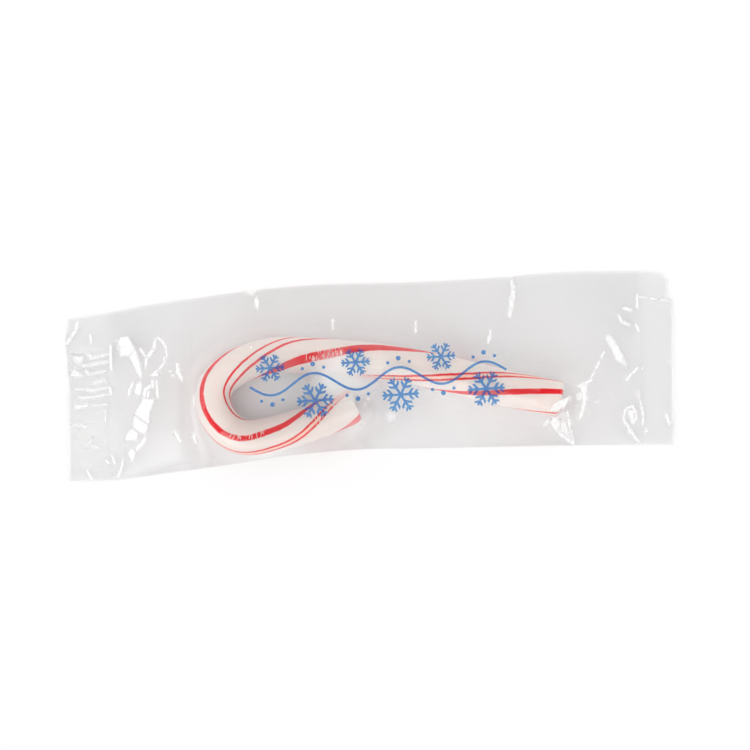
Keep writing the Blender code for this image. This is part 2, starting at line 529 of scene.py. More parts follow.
# %% Edges of the wrapper, seen from above
HOOK_END = -53.3
HOOK_SEAL = -45.8
STRAIGHT_SEAL = 47.9
STRAIGHT_END = 53.75
FAR_EDGE = [
    (-53.3, 13.1),
    (-47.0, 13.7),
    (-38.5, 14.7),
    (-29.0, 15.4),
    (-18.0, 16.1),
    (-6.0, 16.1),
    (7.0, 15.5),
    (21.0, 15.3),
    (33.0, 15.5),
    (45.0, 15.0),
    (53.8, 14.2),
]
NEAR_EDGE = [
    (-53.3, -15.3),
    (-45.0, -15.6),
    (-35.0, -15.0),
    (-25.0, -14.3),
    (-13.0, -13.3),
    (-1.0, -13.2),
    (9.0, -13.7),
    (23.0, -14.4),
    (35.0, -15.0),
    (53.8, -16.1),
]
FAR_PINCHES = [(-20.6, 1.2, 0.9), (25.0, 0.9, 0.25)]

far_curve = smooth_curve(FAR_EDGE)
near_curve = smooth_curve(NEAR_EDGE)


def smooth_step(value):
    """0 below 0, 1 above 1, and an S-shaped rise between."""
    t = np.clip(value, 0.0, 1.0)
    return t * t * (3.0 - 2.0 * t)


def hump(offset, half_width):
    """A smooth hump of height 1 that ends half_width to each side."""
    return smooth_step(1.0 - np.abs(offset) / half_width)


def long_edges(x):
    """The near and far edge at these X."""
    near = np.interp(x, near_curve[:, 0], near_curve[:, 1])
    far = np.interp(x, far_curve[:, 0], far_curve[:, 1])
    for middle, half_width, depth in FAR_PINCHES:
        far = far - depth * hump(x - middle, half_width)
    return near, far


near_middle, far_middle = long_edges(0.0)
print("across its middle the pack is", round(float(far_middle - near_middle), 1), "mm wide")

# %% The cuts at both ends
END_SLANT = 0.055
BULGE_MIDDLE = 9.0
BULGE_HALF_WIDTH = 3.5
BULGE = 0.3
STEP_START = 9.3
STEP_FADE = 0.6
STEP = 0.8
CORNER_CUT = 1.2


def end_offset(x, y, far):
    """How far the cut ends stray from a straight line."""
    hook_side = smooth_step((HOOK_SEAL - x) / (HOOK_SEAL - HOOK_END))
    straight_side = smooth_step((x - STRAIGHT_SEAL) / (STRAIGHT_END - STRAIGHT_SEAL))
    bulge = BULGE * hump(y - BULGE_MIDDLE, BULGE_HALF_WIDTH)
    step = STEP * smooth_step((y - STEP_START) / STEP_FADE)
    corner = np.maximum(y - (far - CORNER_CUT), 0.0)
    return -bulge * hook_side - (step + corner) * straight_side


weld_widths = (HOOK_SEAL - HOOK_END, STRAIGHT_END - STRAIGHT_SEAL)
print("the welds are", *[round(width, 1) for width in weld_widths], "mm wide")

# %% [markdown]
# ## A sheet on a grid
# Film is a sheet, and a sheet seen from above is a height for each place, so numpy can hold it as a
# grid. The grid follows the wrapper's outline. The knocked ends get finer columns than the smooth
# middle, and the rows crowd a little towards the folds, where the sheet turns under.

# %% The places of the grid's points
ALONG = 440
ACROSS = 200
SMOOTH_STRETCH = (-17.0, 29.0)
STRETCH_EASE = 4.0
SMOOTH_SHARE = 0.55
FINE_STEPS = 2000
EVENNESS = 0.8


def column_places():
    """X of each grid column."""
    x = np.linspace(HOOK_END, STRAIGHT_END, FINE_STEPS)
    rise = smooth_step((x - SMOOTH_STRETCH[0]) / STRETCH_EASE)
    fall = smooth_step((SMOOTH_STRETCH[1] - x) / STRETCH_EASE)
    count = np.cumsum(1.0 - (1.0 - SMOOTH_SHARE) * rise * fall)
    return np.interp(np.linspace(count[0], count[-1], ALONG + 1), count, x)


def grid_places():
    """For every grid point: X before the ends' slant, the place across from -1 to 1, and X and Y."""
    x = column_places()[:, None]
    t = np.linspace(-1.0, 1.0, ACROSS + 1)[None, :]
    across = EVENNESS * t + (1.0 - EVENNESS) * np.sin(0.5 * math.pi * t)
    near, far = long_edges(x)
    y = near + (far - near) * (across + 1.0) / 2.0
    base = np.broadcast_to(x, y.shape)
    return base, across, base + END_SLANT * y + end_offset(base, y, far), y


base_x, across, film_x, film_y = grid_places()
print("the film's grid has", film_x.size, "points")

# %% The height of the candy under each of them
FILM_GAP = 0.1

cane_spine = cane_line[::6]


def from_stretch(x, y, start, end):
    """Each place's distance from a straight stretch, and how far along it the nearest point is."""
    dx, dy = end[0] - start[0], end[1] - start[1]
    off_x, off_y = x - start[0], y - start[1]
    t = np.clip((off_x * dx + off_y * dy) / (dx * dx + dy * dy), 0.0, 1.0)
    return np.hypot(off_x - t * dx, off_y - t * dy), t


def distance_to_line(x, y, line):
    """The distance from each place to the nearest stretch of a line of points."""
    nearest = np.full(x.shape, np.inf)
    for start, end in zip(line, line[1:]):
        nearest = np.minimum(nearest, from_stretch(x, y, start, end)[0])
    return nearest


def candy_top(x, y):
    """The height of the candy's upper surface with the film's gap, or 0 beside it."""
    off = distance_to_line(x, y, cane_spine)
    reach = STICK_RADIUS + FILM_GAP
    inside = np.maximum(reach**2 - off**2, 0.0)
    return np.where(off < reach, STICK_HEIGHT + np.sqrt(inside), 0.0)


candy_under = candy_top(film_x, film_y)
print("the candy and its gap reach", round(float(candy_under.max()), 2), "mm")

# %% [markdown]
# ## Drape the film
# Film that is drawn tight over a hard shape runs straight from one high place to the next, and from
# there to the edges that hold it. A looser sheet sags between them, and each of its points settles at
# the mean height of its neighbours. A wrapper does some of both. Both shapes are found by repeating a
# small rule on the grid: lift each point to the chords that span it, or move it to its neighbours'
# mean, and never let it sink into the candy. That gives the tent over the stick, the bridge across
# the crook and the slopes to the welds, which would be hard to draw by hand.

# %% What holds the sheet: the welds and the folds along the sides
SEAL_HEIGHT = 0.42
SIDE_FOLD = 0.28

from_weld = np.minimum(base_x - HOOK_SEAL, STRAIGHT_SEAL - base_x)
loose = from_weld > 0.0
held = ~loose
held[:, 0] = held[:, -1] = True
print("the welds and folds hold", int(held.sum()), "of the points")

# %% Tight film: lift it to its chords
CANDY_ENDS = (-31.0, 33.0)
CHORD_SPANS = (1, 2, 4, 8, 16)


def lift_to_chords(sheet, x, y):
    """Lifts each point to the chords between pairs of points on both sides of it, across the wrapper,
    and in the pockets beyond the candy along it too."""
    pockets = (x < CANDY_ENDS[0]) | (x > CANDY_ENDS[1])
    for span in CHORD_SPANS:
        for i, j in ((span, 0), (0, span)):
            middle = (slice(i, -i or None), slice(j, -j or None))
            first = (slice(0, -2 * i or None), slice(0, -2 * j or None))
            last = (slice(2 * i, None), slice(2 * j, None))
            to_first = np.hypot(x[middle] - x[first], y[middle] - y[first])
            to_last = np.hypot(x[middle] - x[last], y[middle] - y[last])
            chord = (sheet[first] * to_last + sheet[last] * to_first) / (to_first + to_last)
            lifted = np.maximum(sheet[middle], chord)
            sheet[middle] = np.where(pockets[middle] | (i == 0), lifted, sheet[middle])


print("chords span", *CHORD_SPANS, "grid steps to each side")


# %% Slack film: settle it at its neighbours' mean
def relax(sheet, x, y, still, floor_height, rounds):
    """Moves each free point to its neighbours' mean height, again and again."""
    below, above = y[1:-1, 1:-1] - y[1:-1, :-2], y[1:-1, 2:] - y[1:-1, 1:-1]
    before, after = x[1:-1, 1:-1] - x[:-2, 1:-1], x[2:, 1:-1] - x[1:-1, 1:-1]
    to_below, to_above = 2.0 / (below * (below + above)), 2.0 / (above * (below + above))
    to_before, to_after = 2.0 / (before * (before + after)), 2.0 / (after * (before + after))
    total = to_below + to_above + to_before + to_after
    inner = sheet[1:-1, 1:-1]
    for _ in range(rounds):
        mean = sheet[1:-1, :-2] * to_below + sheet[1:-1, 2:] * to_above
        mean += sheet[:-2, 1:-1] * to_before + sheet[2:, 1:-1] * to_after
        mean = np.maximum(mean / total, floor_height[1:-1, 1:-1])
        inner[...] = np.where(still[1:-1, 1:-1], inner, mean)
    return sheet


def refine(sheet):
    """Doubles a coarse sheet's grid in both directions by straight lines between its points."""
    wide = np.repeat(sheet, 2, axis=0)[:-1]
    wide[1::2] = (sheet[:-1] + sheet[1:]) / 2.0
    fine = np.repeat(wide, 2, axis=1)[:, :-1]
    fine[:, 1::2] = (wide[:, :-1] + wide[:, 1:]) / 2.0
    return fine


print("a sheet of 3 by 3 points is refined to", *refine(np.zeros((3, 3))).shape)

# %% The tent: some of both, shaped on a coarse grid and smoothed on finer ones
COARSE = 4
TAUT_SHARE = 0.75
TAUT_ROUNDS = 30
SLACK_ROUNDS = 1500
FINER_STEPS = ((2, 12), (1, 40))


def settle():
    """The height of the upper film before any knocks."""
    at_rest = np.where(loose, SIDE_FOLD, SEAL_HEIGHT)
    coarse = (slice(None, None, COARSE), slice(None, None, COARSE))
    x, y, still, under = base_x[coarse], film_y[coarse], held[coarse], candy_under[coarse]
    start = np.where(still, at_rest[coarse], np.maximum(under, SIDE_FOLD))
    taut = start.copy()
    first, last = np.flatnonzero(~still[:, 1])[[0, -1]]
    between = slice(first - 1, last + 2)
    for _ in range(TAUT_ROUNDS):
        lift_to_chords(taut[between], x[between], y[between])
    slack = relax(start, x, y, still, under, SLACK_ROUNDS)
    sheet = TAUT_SHARE * taut + (1.0 - TAUT_SHARE) * slack
    for step, rounds in FINER_STEPS:
        level = (slice(None, None, step), slice(None, None, step))
        sheet = np.where(held[level], at_rest[level], np.maximum(refine(sheet), candy_under[level]))
        sheet = relax(sheet, base_x[level], film_y[level], held[level], candy_under[level], rounds)
    return sheet


tent = settle()
print("the tent is", round(float(tent.max()), 2), "mm high")

# %% [markdown]
# ## Lamps, and the slopes that mirror them
# Film this thin keeps every knock it gets, and what shows of a knock is its glint: a small patch that
# leans just enough to mirror a lamp into the viewer's eye. So the lamps come first. Seen from above,
# a patch mirrors a lamp when it leans towards it by half of the lamp's angle from the zenith. Three
# narrow lamps stand low, so that only knocks glint and not the tent's own gentler slopes.

# %% The three low lamps, each by azimuth and elevation, and how far a patch leans to mirror one
HOOK_LAMP = (180.0, 30.0)
STRAIGHT_LAMP = (0.0, 30.0)
FAR_LAMP = (90.0, 9.0)


def glint_slope(lamp):
    """The rise per mm, along X and Y, of a patch that mirrors a lamp straight up."""
    azimuth, elevation = (math.radians(angle) for angle in lamp)
    steepness = math.tan((0.5 * math.pi - elevation) / 2.0)
    return -steepness * math.cos(azimuth), -steepness * math.sin(azimuth)


print("to mirror the hook's lamp a patch rises", round(glint_slope(HOOK_LAMP)[0], 2), "mm in 1 mm")

# %% [markdown]
# ## Facets, creases and crimps
# A facet is a flat patch with straight edges, like one side of a dent. A crease is a thin line that
# tapers to both ends, and the crimps in the welds are creases too. Each is a few places, listed with
# the lamp that it mirrors. Each is also painted white, a painted highlight that backs up its glint,
# partly the real whitening of film that was bent hard.

# %% Facets, each with its lamp, how white its painted glint is, and its corners
FACETS = [
    (HOOK_LAMP, 0.8, [(-44.1, 8.4), (-43.3, 9.4), (-41.9, 9.5), (-40.8, 7.2), (-42.2, 6.0), (-43.7, 6.1)]),
    (HOOK_LAMP, 0.7, [(-42.2, 6.0), (-40.8, 7.2), (-40.1, 4.6), (-39.9, 2.2), (-40.5, 2.3), (-41.4, 4.5)]),
    (HOOK_LAMP, 0.4, [(-40.1, 2.0), (-41.3, 0.6), (-41.7, -0.7), (-40.5, -1.2), (-39.9, 0.4)]),
    (HOOK_LAMP, 0.7, [(-40.0, -1.7), (-37.9, -1.9), (-38.9, -4.0), (-39.2, -6.2), (-41.9, -4.4)]),
    (HOOK_LAMP, 0.6, [(-41.9, -4.6), (-39.3, -6.3), (-39.9, -8.1), (-41.2, -7.4), (-42.3, -6.6)]),
    (HOOK_LAMP, 0.7, [(-42.3, -6.8), (-41.2, -7.6), (-41.6, -8.8), (-43.9, -8.8), (-43.6, -7.9)]),
    (HOOK_LAMP, 0.8, [(-39.9, -8.2), (-39.9, -9.0), (-41.9, -11.0), (-42.0, -10.3), (-40.6, -8.9)]),
    (HOOK_LAMP, 0.8, [(-43.5, -11.0), (-42.4, -10.2), (-42.0, -11.1), (-42.7, -12.6)]),
    (FAR_LAMP, 0.8, [(-52.4, -1.7), (-50.0, -1.8), (-49.6, -2.4), (-52.0, -2.8)]),
    (FAR_LAMP, 0.5, [(-52.4, 7.3), (-49.6, 6.9), (-50.6, 5.2), (-51.4, 5.6)]),
    (FAR_LAMP, 0.5, [(-52.5, 5.2), (-50.4, 3.2), (-52.3, 3.4)]),
    (STRAIGHT_LAMP, 0.8, [(41.9, 3.7), (42.8, 4.0), (44.2, 1.6), (44.9, -0.1), (45.5, -2.2), (43.6, -0.6)]),
    (STRAIGHT_LAMP, 0.9, [(34.9, -6.2), (31.8, -7.4), (31.1, -8.6), (32.7, -8.5), (34.0, -7.8)]),
    (STRAIGHT_LAMP, 0.9, [(30.9, -9.9), (33.0, -9.9), (32.8, -11.5), (32.1, -12.2), (31.5, -11.3)]),
    (STRAIGHT_LAMP, 0.9, [(36.6, -4.8), (38.0, -4.3), (37.8, -6.2), (37.2, -6.2)]),
    (STRAIGHT_LAMP, 0.25, [(32.9, -9.0), (34.1, -8.9), (34.7, -13.6), (34.5, -14.2), (32.6, -12.3)]),
    (STRAIGHT_LAMP, 0.8, [(44.9, -9.6), (46.0, -9.5), (46.2, -11.8), (45.5, -12.0), (45.2, -10.6)]),
    (STRAIGHT_LAMP, 0.5, [(44.8, -12.2), (45.6, -13.0), (45.3, -13.7), (44.6, -13.6)]),
    (STRAIGHT_LAMP, 0.5, [(47.9, -12.4), (48.6, -13.5), (47.6, -13.8)]),
]
print(len(FACETS), "facets")

# %% Creases and crimps, each with its greatest half width
HOOK_CREASES = [
    ([(-37.1, 9.1), (-36.3, 9.0), (-35.8, 7.9), (-35.2, 6.4), (-35.3, 5.2)], 0.12),
    ([(-35.7, 5.6), (-36.0, 4.0), (-37.2, 3.1), (-38.1, 2.3)], 0.14),
    ([(-38.5, 2.4), (-37.0, 2.4)], 0.16),
    ([(-37.1, 8.6), (-37.5, 7.1), (-38.3, 6.0), (-39.1, 5.2), (-39.3, 3.8)], 0.24),
    ([(-40.1, 7.4), (-39.1, 5.7)], 0.14),
    ([(-38.1, 1.5), (-38.2, 0.1)], 0.2),
    ([(-37.4, 1.5), (-37.4, -1.9)], 0.13),
    ([(-38.5, 0.6), (-39.7, -0.3), (-39.8, -1.5)], 0.2),
    ([(-38.9, -0.4), (-39.2, -1.6)], 0.14),
    ([(-45.1, 8.2), (-45.3, 6.0), (-45.3, 3.6)], 0.22),
    ([(-45.8, 0.9), (-45.7, -0.6)], 0.22),
    ([(-42.6, -1.0), (-42.2, 0.4), (-41.5, 1.4)], 0.16),
    ([(-33.6, 4.3), (-33.5, 2.6), (-32.8, 1.0)], 0.24),
    ([(-35.0, 3.0), (-34.8, 2.7)], 0.14),
    ([(-34.5, 2.2), (-34.3, 1.9)], 0.14),
    ([(-31.8, -8.2), (-31.5, -9.2), (-31.1, -10.1)], 0.22),
    ([(-34.9, -7.8), (-33.7, -9.8)], 0.2),
    ([(-44.3, -12.0), (-44.6, -13.4), (-45.5, -15.2)], 0.16),
    ([(-46.3, -11.2), (-45.8, -12.8)], 0.14),
    ([(-47.5, -12.0), (-46.7, -12.7)], 0.14),
    ([(-46.9, -3.2), (-46.9, -5.3)], 0.12),
    ([(-51.0, -13.3), (-50.0, -15.3)], 0.14),
    ([(-50.7, 12.6), (-51.2, 11.0), (-52.4, 9.6), (-52.9, 8.8)], 0.24),
    ([(-48.6, 10.4), (-48.5, 8.6)], 0.12),
    ([(-18.9, 14.8), (-19.0, 12.7)], 0.3),
    ([(-5.8, 9.8), (-5.8, 8.3)], 0.14),
]
STRAIGHT_CREASES = [
    ([(36.2, -4.8), (37.6, -4.2), (39.1, -3.7)], 0.2),
    ([(37.4, -5.6), (37.4, -7.2), (37.0, -8.7), (36.3, -10.5)], 0.28),
    ([(38.8, -3.4), (39.5, -2.3)], 0.12),
    ([(39.7, -2.0), (40.5, -0.6)], 0.18),
    ([(40.8, -0.1), (41.5, 1.1)], 0.18),
    ([(45.0, -4.3), (46.0, -3.2), (47.5, -2.0)], 0.16),
    ([(48.1, -2.1), (48.2, -2.5)], 0.14),
    ([(33.4, -8.4), (34.3, -7.0)], 0.14),
    ([(29.9, -11.2), (30.5, -10.0), (31.4, -9.9)], 0.22),
    ([(34.2, -8.9), (34.4, -11.0), (34.9, -13.6), (35.1, -14.8)], 0.18),
    ([(32.2, -12.3), (33.4, -13.4), (34.9, -14.7)], 0.18),
    ([(44.3, -12.0), (44.2, -10.2), (44.9, -8.9), (45.9, -8.8), (46.4, -10.0), (46.4, -11.6)], 0.16),
    ([(44.3, -11.2), (44.9, -12.4), (45.5, -13.6), (46.7, -15.4)], 0.14),
    ([(47.3, -8.0), (47.7, -10.4), (47.5, -12.2)], 0.16),
    ([(51.8, -10.6), (52.2, -11.6), (52.2, -12.6)], 0.2),
    ([(45.4, 8.6), (46.2, 8.4), (46.9, 8.0)], 0.2),
    ([(44.4, 7.4), (45.1, 6.1), (46.5, 5.4)], 0.2),
    ([(48.1, 10.9), (47.9, 8.2)], 0.14),
    ([(47.4, 5.6), (48.0, 4.1)], 0.18),
    ([(48.4, 10.3), (51.0, 9.8), (53.6, 9.3)], 0.1),
    ([(26.1, 14.8), (26.3, 12.7), (25.8, 10.8), (25.3, 8.1)], 0.34),
    ([(21.9, 6.4), (21.6, 5.2), (21.2, 4.0)], 0.22),
    ([(8.9, 9.0), (8.7, 6.6)], 0.14),
]
WELD_CRIMPS = [
    ([(-49.7, 7.1), (-48.6, 6.2), (-47.2, 6.4), (-45.6, 6.6)], 0.28),
    ([(-50.5, 4.8), (-48.7, 5.0), (-47.4, 5.2), (-45.4, 5.2)], 0.26),
    ([(-50.2, 4.4), (-49.3, 3.3), (-47.8, 3.5), (-46.2, 3.7)], 0.2),
    ([(-48.8, 1.7), (-46.6, 2.0)], 0.2),
    ([(-51.9, 0.8), (-50.6, 0.8), (-49.3, 0.3), (-47.6, 0.6), (-45.6, 0.7)], 0.22),
    ([(-51.4, -0.7), (-49.6, -0.8), (-47.6, -0.6), (-45.8, -0.4)], 0.2),
    ([(-49.2, -2.3), (-46.3, -2.2)], 0.16),
    ([(-53.0, -5.4), (-51.6, -5.5), (-50.3, -5.9)], 0.18),
    ([(-49.1, -7.7), (-49.9, -8.5), (-50.5, -9.3)], 0.16),
    ([(-50.4, -9.3), (-49.4, -9.9), (-48.2, -9.8)], 0.16),
    ([(-52.6, 3.4), (-50.6, 3.2)], 0.14),
    ([(-44.3, 8.9), (-43.9, 8.9)], 0.12),
]
CRIMP_GLINT_PAINT = 0.8

# each set: its creases, the lamp they mirror, and how white their glints are painted
crease_sets = [
    (HOOK_CREASES, HOOK_LAMP, 1.0),
    (STRAIGHT_CREASES, STRAIGHT_LAMP, 1.0),
    (WELD_CRIMPS, FAR_LAMP, CRIMP_GLINT_PAINT),
]
print(sum(len(creases) for creases, _, _ in crease_sets), "creases")

# %% How deep a point is in a facet, and how far from a crease
CRINKLE_LENGTH = 1.6


def inside_polygon(corners):
    """How deep each grid point lies inside a polygon, in mm, negative outside it."""
    ring = corners + corners[:1]
    inside = np.zeros(film_x.shape, dtype=bool)
    for (x0, y0), (x1, y1) in zip(ring, ring[1:]):
        spans = (y0 > film_y) != (y1 > film_y)
        inside ^= spans & (film_x < x0 + (film_y - y0) * (x1 - x0) / (y1 - y0 + 1e-9))
    return np.where(inside, 1.0, -1.0) * distance_to_line(film_x, film_y, ring)


def short_stretches(line):
    """A line cut into short stretches, which glint one by one as crinkles do."""
    curve = smooth_curve(line, 8)
    run = run_along(curve)
    marks = np.linspace(0.0, run[-1], max(int(round(run[-1] / CRINKLE_LENGTH)), 1) + 1)
    return np.column_stack([np.interp(marks, run, curve[:, i]) for i in (0, 1)])


def nearest_stretch(line):
    """For each grid point: its distance from a line, the offset from the middle of the line's nearest
    stretch, and how far along the line that is, from 0 to 1."""
    nearest = np.full(film_x.shape, np.inf)
    away_x, away_y, along = (np.zeros(film_x.shape) for _ in range(3))
    for i, (start, end) in enumerate(zip(line, line[1:])):
        off, t = from_stretch(film_x, film_y, start, end)
        closer = off < nearest
        nearest = np.where(closer, off, nearest)
        away_x = np.where(closer, film_x - (start[0] + end[0]) / 2.0, away_x)
        away_y = np.where(closer, film_y - (start[1] + end[1]) / 2.0, away_y)
        along = np.where(closer, (i + t) / (len(line) - 1), along)
    return nearest, away_x, away_y, along


print("the first crease has", len(short_stretches(HOOK_CREASES[0][0])) - 1, "crinkles")

# %% [markdown]
# ## Painted soft light
# The film is painted milky white where it should look lighter. A band along both sides of the candy
# lightens the candy's shadow and softens its edges, though not inside the crook, which stays darker.
# Soft patches stand in for soft highlights and lift the shade: the broadest ones over the crook and
# its mouth, at the arm's end and in the weld at the hook's end. A smooth falloff from each patch's
# middle is enough, and where patches meet, each dims what the others let through.

# %% Patches of painted soft light, each with its middle, its radius and how white it is painted there
SOFT_LIGHT_PATCHES = [
    ((-49.6, -8.0), 7.0, 0.3),
    ((-17.5, -0.6), 7.0, 0.12),
    ((-5.6, -0.4), 4.8, 0.6),
    ((-0.6, -1.6), 3.2, 0.35),
    ((-3.0, -7.4), 4.2, 0.2),
    ((3.8, -2.2), 0.9, 0.3),
    ((3.3, -7.8), 1.1, 0.35),
    ((-47.5, 1.5), 1.6, 0.25),
    ((39.7, -7.6), 0.6, 0.25),
    ((42.3, -6.6), 0.7, 0.12),
    ((52.8, -1.5), 0.5, 0.2),
]
CROOK_MIDDLE = [(-24.0, -1.8), (-3.0, -0.8)]
SHADE_LIFT_LINE = 4.1
SHADE_LIFT_SPREAD = 1.5
SHADE_LIFT_WHITE = 0.14
PATCH_EDGE = 1.3


def painted_soft_light():
    """How much white is painted on the film as soft light, from 0 to 1, apart from its creases."""
    beside = (distance_to_line(film_x, film_y, cane_spine) - SHADE_LIFT_LINE) / SHADE_LIFT_SPREAD
    sheltered = distance_to_line(film_x, film_y, CROOK_MIDDLE) / STICK_RADIUS
    clear = 1.0 - SHADE_LIFT_WHITE * np.exp(-(beside**2)) * smooth_step(sheltered - 1.0)
    for (x, y), radius, strength in SOFT_LIGHT_PATCHES:
        off = np.hypot(film_x - x, film_y - y) / radius
        clear = clear * (1.0 - strength * smooth_step(PATCH_EDGE - off))
    return 1.0 - clear


film_painted_soft_light = painted_soft_light()
# the strongest share of painted soft light
print("the haziest place is", round(100.0 * float(film_painted_soft_light.max())), "percent milky")

# %% [markdown]
# ## Press the knocks into the sheet
# The sheet first gets slow waves between the welds, and in the welds the fine ribs of the jaws. Then
# each facet and each crinkle of a crease is pressed in by turning the sheet about its middle until it
# leans to its lamp. A normal map could make the glints alone, but real slopes show from all sides.

# %% Waves, ribs and knocks
WAVES = [(0.14, 7.0, 3.0), (0.03, 2.6, 8.0)]
WAVE_EASE = 3.0
WAVE_FLATNESS = 6
RIB_PITCH = 0.85
RIB_HEIGHT = 0.008
KNOCK_EDGE = 0.16
FACET_SPREAD = 0.5
CREASE_SPREAD = 0.7
CREASE_TAPER = 0.9
GLINT_BREAK_SIZE = 0.8
GLINT_BREAK_SEED = 5.0
GLINT_BREAK_MEAN = 0.92
GLINT_BREAK_DEPTH = 0.25
GLINT_BREAK_LEAST = 0.4


def sheet_noise(scale, seed):
    """A smooth random field over the sheet, about -1 to 1, with features this many mm wide."""
    places = zip(film_x.ravel() / scale, film_y.ravel() / scale)
    field = [noise.noise(Vector((x, y, seed))) for x, y in places]
    return np.array(field).reshape(film_x.shape)


def waves_and_ribs(sheet):
    """Adds slow waves between the welds and fine ribs in them."""
    free = smooth_step(from_weld / WAVE_EASE) * (1.0 - np.abs(across) ** WAVE_FLATNESS)
    waves = sum(height * sheet_noise(scale, seed) for height, scale, seed in WAVES)
    return sheet + free * waves + RIB_HEIGHT * np.sin(TAU * film_y / RIB_PITCH) * (from_weld < 0.0)


def slopes_of(sheet):
    """The sheet's rise per mm along X and along Y."""
    along_x = np.gradient(sheet, base_x[:, 0], axis=0)
    return along_x, np.gradient(sheet, axis=1) / np.gradient(film_y, axis=1)


def lean(sheet, slopes, away_x, away_y, share, lamp):
    """Turns the sheet to the slope that mirrors a lamp, where share is 1, about its nearby middle."""
    want_x, want_y = glint_slope(lamp)
    turn = (want_x - slopes[0]) * away_x + (want_y - slopes[1]) * away_y
    return sheet + turn * share


def knock(sheet):
    """Presses facets and creases into the sheet; also gives how much white each place is painted with, as
    painted glints.
    """
    slopes = slopes_of(sheet)
    painted_light = np.zeros_like(sheet)
    for lamp, strength, corners in FACETS:
        share = smooth_step(inside_polygon(corners) / KNOCK_EDGE + FACET_SPREAD)
        middle_x, middle_y = np.mean(corners, axis=0)
        sheet = lean(sheet, slopes, film_x - middle_x, film_y - middle_y, share, lamp)
        painted_light = np.maximum(painted_light, share * strength)
    for creases, lamp, glint_paint in crease_sets:
        for line, half_width in creases:
            off, away_x, away_y, along = nearest_stretch(short_stretches(line))
            width = half_width * np.sqrt(1.0 - CREASE_TAPER * np.abs(2.0 * along - 1.0) ** 3)
            share = smooth_step((width - off) / KNOCK_EDGE + CREASE_SPREAD)
            sheet = lean(sheet, slopes, away_x, away_y, share, lamp)
            painted_light = np.maximum(painted_light, share * glint_paint)
    # noise breaks the painted glints into patches
    glint_break = GLINT_BREAK_MEAN + GLINT_BREAK_DEPTH * sheet_noise(GLINT_BREAK_SIZE, GLINT_BREAK_SEED)
    return sheet, painted_light * np.clip(glint_break, GLINT_BREAK_LEAST, 1.0)


# the painted light: white painted on the glints, then the patches of painted soft light
film_top, film_painted_light = knock(waves_and_ribs(tent))
film_painted_light = np.maximum(film_painted_light, film_painted_soft_light)
print("knocks have whitened", round(100.0 * float((film_painted_light > 0.5).mean()), 1), "percent of the film")

# %% Keep the film above the candy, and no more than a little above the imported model
PROUD = 0.12

film_top = np.clip(film_top, candy_under, pack_high[2] / MM + PROUD)
print("the film now stands", round(float(film_top.max()), 2), "mm high")

# %% [markdown]
# ## Clear film
# Cast polypropylene film is clear and glossy. A sheet of it mirrors about a thirteenth of what is
# above it and lets the rest through unbent, so a Transparent shader and a Glossy shader are mixed by
# how much the sheet mirrors. Fresnel gives that share for one surface and the film has two, so the
# share is doubled. Fewer surfaces mirror in the welds, where two sheets have fused, and where the film
# clings damp to the candy; an attribute says how many are lost. A white Diffuse shader is mixed in by
# a second attribute, which holds painted light: white painted on the glints of creases and facets and
# in patches of painted soft light. A face seen from inside needs the inverse index, or it would mirror
# like the wall of a solid block.

# %% The film's material
FILM_IOR = 1.49
FILM_TINT = "#fdfdfd"
FILM_ROUGHNESS = 0.07
SHEET_SURFACES = 2.0
PAINTED_LIGHT_WHITE = 0.85


def clear_film():
    material, tree = new_material("cast_polypropylene_film")
    side = add_node(tree, "ShaderNodeNewGeometry")
    index = add_node(
        tree,
        "ShaderNodeMath",
        {0: side.outputs["Backfacing"], 1: 1.0 / FILM_IOR - FILM_IOR, 2: FILM_IOR},
        operation="MULTIPLY_ADD",
    )
    one_surface = add_node(tree, "ShaderNodeFresnel", {"IOR": index})
    lost = add_node(tree, "ShaderNodeAttribute", attribute_name="fused")
    surfaces = add_node(
        tree, "ShaderNodeMath", {0: SHEET_SURFACES, 1: lost.outputs["Fac"]}, operation="SUBTRACT"
    )
    mirrored = add_node(
        tree, "ShaderNodeMath", {0: one_surface, 1: surfaces}, operation="MULTIPLY", use_clamp=True
    )
    through = add_node(tree, "ShaderNodeBsdfTransparent", {"Color": colour(FILM_TINT)})
    mirror = add_node(
        tree, "ShaderNodeBsdfGlossy", {"Color": colour("#ffffff"), "Roughness": FILM_ROUGHNESS}
    )
    clear = add_node(tree, "ShaderNodeMixShader", {"Fac": mirrored, 1: through, 2: mirror})
    # painted light: a white Diffuse mixed in where the attribute paints glints and soft light
    painted_light = add_node(tree, "ShaderNodeAttribute", attribute_name="painted_light")
    whitened = add_node(
        tree, "ShaderNodeMath", {0: painted_light.outputs["Fac"], 1: PAINTED_LIGHT_WHITE}, operation="MULTIPLY"
    )
    milky = add_node(tree, "ShaderNodeBsdfDiffuse", {"Color": colour("#ffffff"), "Roughness": 0.0})
    film = add_node(tree, "ShaderNodeMixShader", {"Fac": whitened, 1: clear, 2: milky})
    add_node(tree, "ShaderNodeOutputMaterial", {"Surface": film})
    return material


head_on = ((FILM_IOR - 1.0) / (FILM_IOR + 1.0)) ** 2
print("seen head on, a sheet mirrors", round(100.0 * SHEET_SURFACES * head_on, 1), "percent")

# %% [markdown]
# ## The wrapper, front and back
# The front of the film is a fine grid, because every crease needs faces to bend. The back lies flat on
# the table and needs few. Solidify would give one sheet a thickness, but a bag is two sheets with air
# between them, so the borders of both grids are bridged. That makes the rounded folds along the sides
# and closes the welded ends, and the wrapper is one closed bag as the real one is.

# %% The heights of both sheets
UNDER_HEIGHT = 0.05
WELD_GAP = 0.06
FOLD_SHARPNESS = 40
BACK_EASE = 2.5


def front_height():
    """The front's height, rounded down to the middle of the fold at each side."""
    fold = np.broadcast_to(np.sqrt(1.0 - np.abs(across) ** FOLD_SHARPNESS), film_top.shape)
    middle = np.where(loose, SIDE_FOLD / 2.0, SEAL_HEIGHT - WELD_GAP / 2.0)
    return middle + (film_top - middle) * fold


